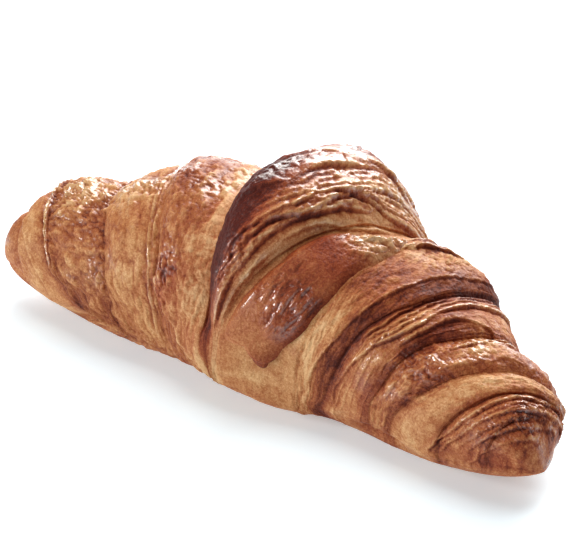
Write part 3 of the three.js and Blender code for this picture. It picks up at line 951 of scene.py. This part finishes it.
class Tongue(Dough):
    """The grid of the tongue: columns across it from left to right, rows from its back to
    its foot. It stands over the roll as a cushion with round rims."""

    def __init__(self, look):
        self.look = look
        columns, rows = TONGUE_GRID
        even = np.linspace(TONGUE_INSET, 1 - TONGUE_INSET, columns)
        share = (1 - np.cos(even * math.pi))[:, None] / 2
        foot = curve_through(TONGUE_FOOT, share)
        degrees = blend(TONGUE_BACK, foot, dense_ends(rows))
        left = curve_through(TONGUE_LEFT, degrees)
        right = curve_through(TONGUE_RIGHT, degrees)
        self.angle = np.radians(degrees)
        self.x = blend(left, right, share)
        self.at = self.x - (left + right) / 2
        ways = (self.x - left, right - self.x, np.radians(foot - degrees) * ROLL_RADIUS,
                np.radians(degrees - TONGUE_BACK) * ROLL_RADIUS)
        self.cushion = np.ones_like(self.x)
        for way, rim in zip(ways, TONGUE_RIMS):
            self.cushion *= rounded(way / rim)
        self.height = TONGUE_HEIGHT + TONGUE_SWELL * arch(share)
        self.bake(*ways[:3])

    def bake(self, left, right, foot):
        """Smooth, egg-washed dough, wrinkled where it is darkest, with painted shade along the
        left edge, browner at the foot, and dull with painted shade low on the right edge."""
        self.relief = np.zeros_like(self.x)
        self.browning = np.full_like(self.x, TONGUE_BROWNING)
        self.shine = np.full_like(self.x, TONGUE_SHINE)
        self.redness = np.full_like(self.x, TONGUE_REDNESS)
        self.blisters = np.full_like(self.x, TONGUE_BLISTERS)
        self.add_patterns(TONGUE_PATTERNS)
        self.add_spots(TONGUE_SPOTS)
        self.add_blisters()
        self.add_wrinkles()
        # Low on the right edge the tongue is duller and gets painted shade; along the left edge it
        # gets painted shade, and at the foot it is browner.
        low = smooth_step(self.angle, *LOW_RIGHT)
        self.add(low * (1 - smooth_step(right, 0.5, 3.5)), DULL_RIM)
        self.add(low * (1 - smooth_step(right, 0.5, 4.5)), RIGHT_RIM_SHADE)
        self.add(bell(left, RIM_WIDTH), LEFT_RIM_SHADE)
        self.add(bell(foot, RIM_WIDTH), FOOT_RIM)
        whole = (self.relief + self.height) * self.cushion
        self.relief = whole - TONGUE_SINK * (1 - self.cushion)

    def add_wrinkles(self):
        """Worm-like ridges of two sizes along the lines where a noise crosses zero, and
        knots among them, in a dark, glossy patch with an uneven edge."""
        along = (self.x - WRINKLED.x) / WRINKLED.width
        around = (np.degrees(self.angle) - WRINKLED.angle) / WRINKLED.turn
        edge = along**2 + around**2 + 0.8 * self.noise(WRINKLE_EDGE)
        wrinkled = 1 - smooth_step(edge, 0.3, 1.5)
        self.add(wrinkled, WRINKLED)
        for worms in WORMS:
            self.add(wrinkled * rounded(ridges(self.noise(worms), worms)), worms)
        self.add(wrinkled * np.clip(self.noise(KNOTS), 0, 1), KNOTS)

    def underside(self):
        """The points of the underside, sunk into the crust."""
        shown = self.relief
        self.relief = -TONGUE_SINK - TONGUE_DEPTH * self.cushion
        points = self.points()
        self.relief = shown
        return points


# ---- closed surfaces ----


def ring_faces(count, rows):
    """Faces between rings of points, which face outwards. The first point has index 0."""
    ring, row = np.meshgrid(np.arange(count - 1), np.arange(rows), indexing="ij")
    after = (row + 1) % rows
    at = ring * rows
    quads = np.stack([at + row, at + after, at + rows + after, at + rows + row], -1)
    return quads.reshape(-1, 4)


def closed_rings(rings, first, last):
    """Rings of points, each joined to the next, and closed by a point at both ends."""
    count, rows = rings.shape[:2]
    points = np.concatenate([[first], rings.reshape(-1, 3), [last]])
    row, after = np.arange(rows), (np.arange(rows) + 1) % rows
    start = np.stack([0 * row, 1 + after, 1 + row], -1)
    end = 1 + (count - 1) * rows
    finish = np.stack([end + row, end + after, 0 * row + len(points) - 1], -1)
    return points, (1 + ring_faces(count, rows)).tolist() + start.tolist() + finish.tolist()


def round_the_rim(top, under):
    """Joins a top and an underside that share their first and last rows, so that each
    column is a ring."""
    return np.concatenate([top, under[:, -2:0:-1]], axis=1)


def closed_sheet(top, under):
    """A sheet with a top and an underside. Each column is a ring, and a strip of faces
    closes the first and the last ring."""
    rings = round_the_rim(top, under)
    count, rows = rings.shape[:2]
    up = np.arange(top.shape[1] - 1)
    strip = np.stack([up, (rows - up) % rows, (rows - up - 1) % rows, up + 1], -1)
    strips = np.concatenate([strip, (count - 1) * rows + strip[:, ::-1]])
    faces = ring_faces(count, rows).tolist()
    faces += [list(dict.fromkeys(face)) for face in strips.tolist()]
    return rings.reshape(-1, 3), faces


def wrap_surface(look, first, last):
    """The grid of the stretches from first to last, closed at both ends: at a tip of the
    roll by the tip itself, and elsewhere by a ring and a point inside the dough."""
    at_left_tip, at_right_tip = first == 0, last == len(SEAMS)
    rising = first > 0 and SEAMS[first - 1].right > SEAMS[first - 1].left
    falling = not at_right_tip and SEAMS[last].left > SEAMS[last].right
    crust = Crust(look, make_columns(first, last, rising, falling), row_angles(ROWS))
    rings = crust.points()
    start, end = rings[0], rings[-1]
    order = np.arange(len(rings))
    order = order[1:] if at_left_tip else np.append(0, order)
    order = order[:-1] if at_right_tip else np.append(order, order[-1])
    rings = rings[order]
    first_point, last_point = start[0], end[0]
    if not at_left_tip:
        rings[0], first_point = tucked_end(start, -1)
    if not at_right_tip:
        rings[-1], last_point = tucked_end(end, 1)
    values = {}
    for key, value in crust.values().items():
        value = value[order].reshape(-1, *value.shape[2:])
        values[key] = np.concatenate([value[:1], value, value[-1:]])
    return *closed_rings(rings, first_point, last_point), values


def tucked_end(ring, side):
    """A ring drawn in towards the roll's middle and moved along to a side, and the point
    inside the dough that closes it."""
    place = ring[:, 0].mean()
    inner = ring + (roll_axis(place) - ring) * TUCK_SHARE + np.array([side * TUCK_SHIFT, 0, 0])
    return inner, roll_axis(place + side * TUCK_POINT)


def tongue_surface(look):
    """The tongue's closed sheet, its underside finished like its top."""
    tongue = Tongue(look)
    points, faces = closed_sheet(tongue.points(), tongue.underside())
    values = {}
    for key, value in tongue.values().items():
        ring = round_the_rim(value, value)
        values[key] = ring.reshape(len(points), *ring.shape[2:])
    return points, faces, values


def frame_shift(look):
    """The roll is worked out with its middle at y = 0. This shift moves it to where the
    model's box has it, by its own front and back."""
    columns = make_columns(0, len(SEAMS), 0, 0)
    side = Crust(look, columns, row_angles(SIDE_ROWS)).points()[..., 1]
    return np.array([0, (LOW[1] + HIGH[1] - side.min() - side.max()) / 2, 0])


def put(name, data, place=None):
    """Adds an object. A light or the camera stands at a place and looks at the target."""
    thing = bpy.data.objects.new(name, data)
    bpy.context.collection.objects.link(thing)
    if place is not None:
        thing.location = place
        thing.rotation_euler = (TARGET - thing.location).to_track_quat("-Z", "Y").to_euler()
    return thing


def make_piece(name, points, faces, values, material):
    """A mesh object from points in millimetres, with named values for each point."""
    mesh = bpy.data.meshes.new(name)
    mesh.from_pydata((points * MILLIMETRE).tolist(), [], faces)
    for label, value in values.items():
        kind, item = ("FLOAT", "value") if value.ndim == 1 else ("FLOAT_VECTOR", "vector")
        mesh.attributes.new(label, kind, "POINT").data.foreach_set(item, value.ravel())
    mesh.shade_smooth()
    mesh.materials.append(material)
    piece = put(name, mesh)
    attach(piece, ROOT)
    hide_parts(NODE)
    return piece


# ---- materials ----


class Wire:
    """A socket of a node tree. Sums and products of wires and numbers add Math nodes."""

    def __init__(self, shader, socket):
        self.shader = shader
        self.socket = socket

    def math(self, operation, *values):
        settings = {"operation": operation}
        return self.shader.node("ShaderNodeMath", settings, dict(enumerate(values)))

    def __add__(self, other):
        return self.math("ADD", self, other)

    __radd__ = __add__

    def __sub__(self, other):
        return self.math("SUBTRACT", self, other)

    def __rsub__(self, other):
        return self.math("SUBTRACT", other, self)

    def __mul__(self, other):
        return self.math("MULTIPLY", self, other)

    __rmul__ = __mul__

    def clipped(self):
        return self.math("MAXIMUM", self.math("MINIMUM", self, 1.0), 0.0)


class Shader:
    """Builds a material from nodes."""

    def __init__(self, name):
        self.material = bpy.data.materials.new(name)
        self.material.use_nodes = True
        self.tree = self.material.node_tree
        self.tree.nodes.clear()

    def node(self, kind, settings=None, sockets=None, output=0):
        """Adds a node: its settings first, then the values or links of its sockets."""
        node = self.tree.nodes.new(kind)
        for key, value in (settings or {}).items():
            if key == "stops":
                self.set_stops(node.color_ramp, value)
            else:
                setattr(node, key, value)
        for key, value in (sockets or {}).items():
            socket = node.inputs[key]
            if isinstance(value, Wire):
                self.tree.links.new(value.socket, socket)
            else:
                socket.default_value = value
        return Wire(self, node.outputs[output]) if node.outputs else None

    @staticmethod
    def set_stops(ramp, stops):
        """Sets a ramp's stops. A new ramp has two, and the rest are added."""
        stops = list(stops)
        while len(ramp.elements) < len(stops):
            ramp.elements.new(0.5)
        for element, (place, colour) in zip(ramp.elements, stops):
            element.position = place
            element.color = (*colour, 1)

    def attribute(self, name, output="Fac"):
        return self.node("ShaderNodeAttribute", {"attribute_name": name}, output=output)

    def noise(self, place, grain):
        """The noise of a grain at a place."""
        sockets = {"Scale": grain.scale, "Detail": grain.detail, "Roughness": grain.roughness}
        settings = {"noise_dimensions": "3D"}
        return self.node("ShaderNodeTexNoise", settings, {"Vector": place, **sockets})

    def stretched(self, vector, scale):
        sockets = {0: vector, 1: scale}
        return self.node("ShaderNodeVectorMath", {"operation": "MULTIPLY"}, sockets)

    def ramp(self, place, colours):
        return self.node("ShaderNodeValToRGB", {"stops": zip(TONES, colours)}, {"Fac": place})

    def mix(self, share, first, second):
        """Mixes two colours: all of the second at a share of 1."""
        settings = {"data_type": "RGBA"}
        return self.node("ShaderNodeMix", settings, {0: share, 6: first, 7: second}, output=2)

    def finish(self, sockets):
        """Gives the material a surface with these sockets."""
        surface = self.node("ShaderNodeBsdfPrincipled", {}, sockets)
        self.node("ShaderNodeOutputMaterial", {}, {"Surface": surface})
        return self.material


# The crust's colours at some shares of its browning: plain, and where it is redder.
TONES = (0, 0.22, 0.42, 0.62, 0.82, 1)
GOLDEN = (
    (0.76, 0.45, 0.215),
    (0.59, 0.277, 0.108),
    (0.44, 0.153, 0.051),
    (0.3, 0.078, 0.025),
    (0.18, 0.035, 0.013),
    (0.085, 0.014, 0.007),
)
RUSSET = (
    (0.77, 0.44, 0.22),
    (0.6, 0.252, 0.105),
    (0.44, 0.126, 0.047),
    (0.3, 0.058, 0.021),
    (0.165, 0.026, 0.011),
    (0.075, 0.011, 0.007),
)

# The material's fine noise: its scale, detail and roughness, and how much it adds to the
# browning, the finest relief and the roughness. Strands are scaled along the roll and
# round it, to the millimetre, and the others to the metre.
Grain = namedtuple("Grain", "scale detail roughness brown height rough", defaults=(0,) * 3)
STRAND_SCALE = (1.8, 0.3, 0.3)
STRAND_GRAIN = Grain(1, 4, 0.6, 0.22, 0.35)
GRAINS = (
    Grain(480, 3, 0.6, 0.25),
    Grain(900, 2, 0.5, 0, 0.6),
    Grain(1500, 2, 0.5, 0.45, 0.35, 0.2),
    Grain(3000, 2, 0.6, 0.35),
)

# The height in metres that the finest relief stands for, and how rough dull dough is and
# how much smoother the egg wash is. The wash coats the crust where it shines enough.
BUMP_HEIGHT = 0.001
DULL_ROUGHNESS = 0.66
WASH_SMOOTHNESS = 0.5
COAT_START = 0.4
COAT_SLOPE = 1.5


def crust_material(look):
    """Baked crust: colour by browning, from golden to russet, with fine grain that runs
    along the wraps and pores across them, glossy where the egg wash set and matte on pale
    dough. All pieces share one such material."""
    if CRUST_NAME in bpy.data.materials:
        return bpy.data.materials[CRUST_NAME]
    shader = Shader(CRUST_NAME)
    browning, shine, redness = map(shader.attribute, ("browning", "shine", "redness"))
    wrap = shader.attribute("wrap", "Vector")
    place = shader.node("ShaderNodeTexCoord", output="Object")
    strands = shader.stretched(wrap, STRAND_SCALE)
    tone, height, rough = browning, 0, DULL_ROUGHNESS - WASH_SMOOTHNESS * shine
    for at, grain in [(strands, STRAND_GRAIN), *((place, grain) for grain in GRAINS)]:
        noise = shader.noise(at, grain)
        if grain.brown:
            tone += (noise - 0.5) * grain.brown
        if grain.height:
            height += noise * grain.height
        if grain.rough:
            rough += (noise - 0.5) * grain.rough
    golden = shader.ramp(tone.clipped(), GOLDEN)
    russet = shader.ramp(tone.clipped(), RUSSET)
    bump = {"Strength": look.bump, "Distance": BUMP_HEIGHT, "Height": height}
    return shader.finish({
        "Base Color": shader.mix(redness, golden, russet),
        "Roughness": rough,
        "Coat Weight": ((shine - COAT_START) * COAT_SLOPE).clipped(),
        "Coat Roughness": 0.09,
        "Coat IOR": 1.6,
        "Specular IOR Level": 0.19,
        "Normal": shader.node("ShaderNodeBump", {}, bump),
    })


def floor_material(stage):
    """A matt floor that shines a little by itself."""
    return Shader("pale_floor").finish({
        "Base Color": (*stage.floor_colour, 1),
        "Emission Color": (*stage.floor_colour, 1),
        "Emission Strength": stage.floor_glow,
        "Roughness": 0.9,
        "Specular IOR Level": 0.1,
    })


# ---- the add-on ----


def watts(name, description, default):
    """A property for the power of a light."""
    return bpy.props.FloatProperty(
        name=name, description=description, default=default, min=0, unit="POWER")


def factor(name, description, default, low=0, high=2):
    """A property for a share or a strength."""
    return bpy.props.FloatProperty(
        name=name, description=description, default=default, min=low, max=high,
        subtype="FACTOR")


def colour(name, description, default):
    """A property for a colour."""
    return bpy.props.FloatVectorProperty(
        name=name, description=description, default=default, min=0, max=1, size=3,
        subtype="COLOR")


class CroissantLook(bpy.types.PropertyGroup):
    """The relief and the finish of the crust."""

    edges: factor("Layer edges", "How high the edges of the layers stand", 1)
    blisters: factor("Blisters", "How much the crust is blistered", 1)
    browning: factor("Browning", "How much browner the whole crust is", 0, -1, 1)
    shine: factor("Egg wash", "How glossy the egg wash is", 1)
    bump: factor("Grain", "Strength of the crust's fine grain", 0.6, 0, 1)


class CroissantStage(bpy.types.PropertyGroup):
    """The stage round the croissant."""

    floor_colour: colour("Floor", "Colour of the floor", (0.835, 0.93, 0.972))
    floor_glow: factor("Floor glow", "How much the floor shines by itself", 0.36)
    floor_size: bpy.props.FloatProperty(
        name="Floor size", description="Length of the floor's sides",
        default=6.0, min=0.5, unit="LENGTH")
    sky: factor("Surround", "Strength of the light from all round", 0.15)
    back: watts("Back light", "Power of the large light behind", 16)
    top: watts("Top light", "Power of the soft light overhead", 7.4)
    fill: watts("Fill light", "Power of the soft light at the front", 4.8)
    gleam_colour: colour("Gleam", "Colour of the lights that only make glints", (1, 0.96, 0.91))
    back_gleam: watts("Back gleam", "Power of the back light that only makes glints", 10.5)
    left_gleam: watts("Left gleam", "Power of the left light that only makes glints", 1.4)
    front_gleam: watts("Front gleam", "Power of the front light that only makes glints", 5.5)


class CROISSANT_OT_wraps(bpy.types.Operator):
    """Add the wraps of dough: the two horns, the hump and the wraps beside it"""

    bl_idname = "croissant.wraps"
    bl_label = "Wraps"

    def execute(self, context):
        look = context.scene.croissant_look
        shift = frame_shift(look)
        for name, first, last in PIECES:
            points, faces, values = wrap_surface(look, first, last)
            make_piece(name, points + shift, faces, values, crust_material(look))
        return {"FINISHED"}


class CROISSANT_OT_tongue(bpy.types.Operator):
    """Add the tongue: the end of the dough that lies on the hump's right side"""

    bl_idname = "croissant.tongue"
    bl_label = "Tongue"

    def execute(self, context):
        look = context.scene.croissant_look
        points, faces, values = tongue_surface(look)
        make_piece("tongue", points + frame_shift(look), faces, values, crust_material(look))
        return {"FINISHED"}


def add_floor(stage):
    half = stage.floor_size / 2
    corners = [(-half, -half, 0), (half, -half, 0), (half, half, 0), (-half, half, 0)]
    mesh = bpy.data.meshes.new("floor")
    mesh.from_pydata(corners, [], [(0, 1, 2, 3)])
    mesh.materials.append(floor_material(stage))
    put("floor", mesh)


def add_surround(context, stage):
    world = bpy.data.worlds.new("surround")
    world.use_nodes = True
    background = world.node_tree.nodes["Background"]
    background.inputs["Color"].default_value = (1, 1, 1, 1)
    background.inputs["Strength"].default_value = stage.sky
    context.scene.world = world


def add_light(stage, name, place, size, diffuse, glossy):
    data = bpy.data.lights.new(name, "AREA")
    data.shape = "SQUARE"
    data.size = size
    data.energy = getattr(stage, name)
    if not diffuse:
        data.color = stage.gleam_colour
    light = put(name, data, place)
    light.visible_diffuse = diffuse
    light.visible_glossy = glossy


def add_camera(context):
    level = math.cos(ELEVATION)
    back = Vector((math.sin(AZIMUTH) * level, -math.cos(AZIMUTH) * level, math.sin(ELEVATION)))
    data = bpy.data.cameras.new("camera")
    data.lens = LENS
    data.clip_start = 0.01
    context.scene.camera = put("camera", data, TARGET + back * DISTANCE)


class CROISSANT_OT_stage(bpy.types.Operator):
    """Add the pale floor, the soft light and the camera"""

    bl_idname = "croissant.stage"
    bl_label = "Stage"

    def execute(self, context):
        stage = context.scene.croissant_stage
        add_floor(stage)
        add_surround(context, stage)
        for light in LIGHTS:
            add_light(stage, *light)
        add_camera(context)
        context.scene.view_settings.view_transform = "Standard"
        return {"FINISHED"}


class CROISSANT_PT_panel(bpy.types.Panel):
    """Lists the croissant's pieces and settings."""

    bl_idname = "CROISSANT_PT_panel"
    bl_label = "Croissant"
    bl_space_type = "VIEW_3D"
    bl_region_type = "UI"
    bl_category = "Croissant"

    def draw(self, context):
        layout = self.layout
        for owner in (context.scene.croissant_look, context.scene.croissant_stage):
            for key in owner.__annotations__:
                layout.prop(owner, key)
        for step in STEPS:
            layout.operator(step.bl_idname)


STEPS = (CROISSANT_OT_wraps, CROISSANT_OT_tongue, CROISSANT_OT_stage)
CLASSES = (CroissantLook, CroissantStage, *STEPS, CROISSANT_PT_panel)


def register():
    for each in CLASSES:
        bpy.utils.register_class(each)
    bpy.types.Scene.croissant_look = bpy.props.PointerProperty(type=CroissantLook)
    bpy.types.Scene.croissant_stage = bpy.props.PointerProperty(type=CroissantStage)


def unregister():
    del bpy.types.Scene.croissant_stage
    del bpy.types.Scene.croissant_look
    for each in reversed(CLASSES):
        bpy.utils.unregister_class(each)


def main():
    register()
    bpy.ops.croissant.wraps()
    bpy.ops.croissant.tongue()
    bpy.ops.croissant.stage()


if __name__ == "__main__":
    main()
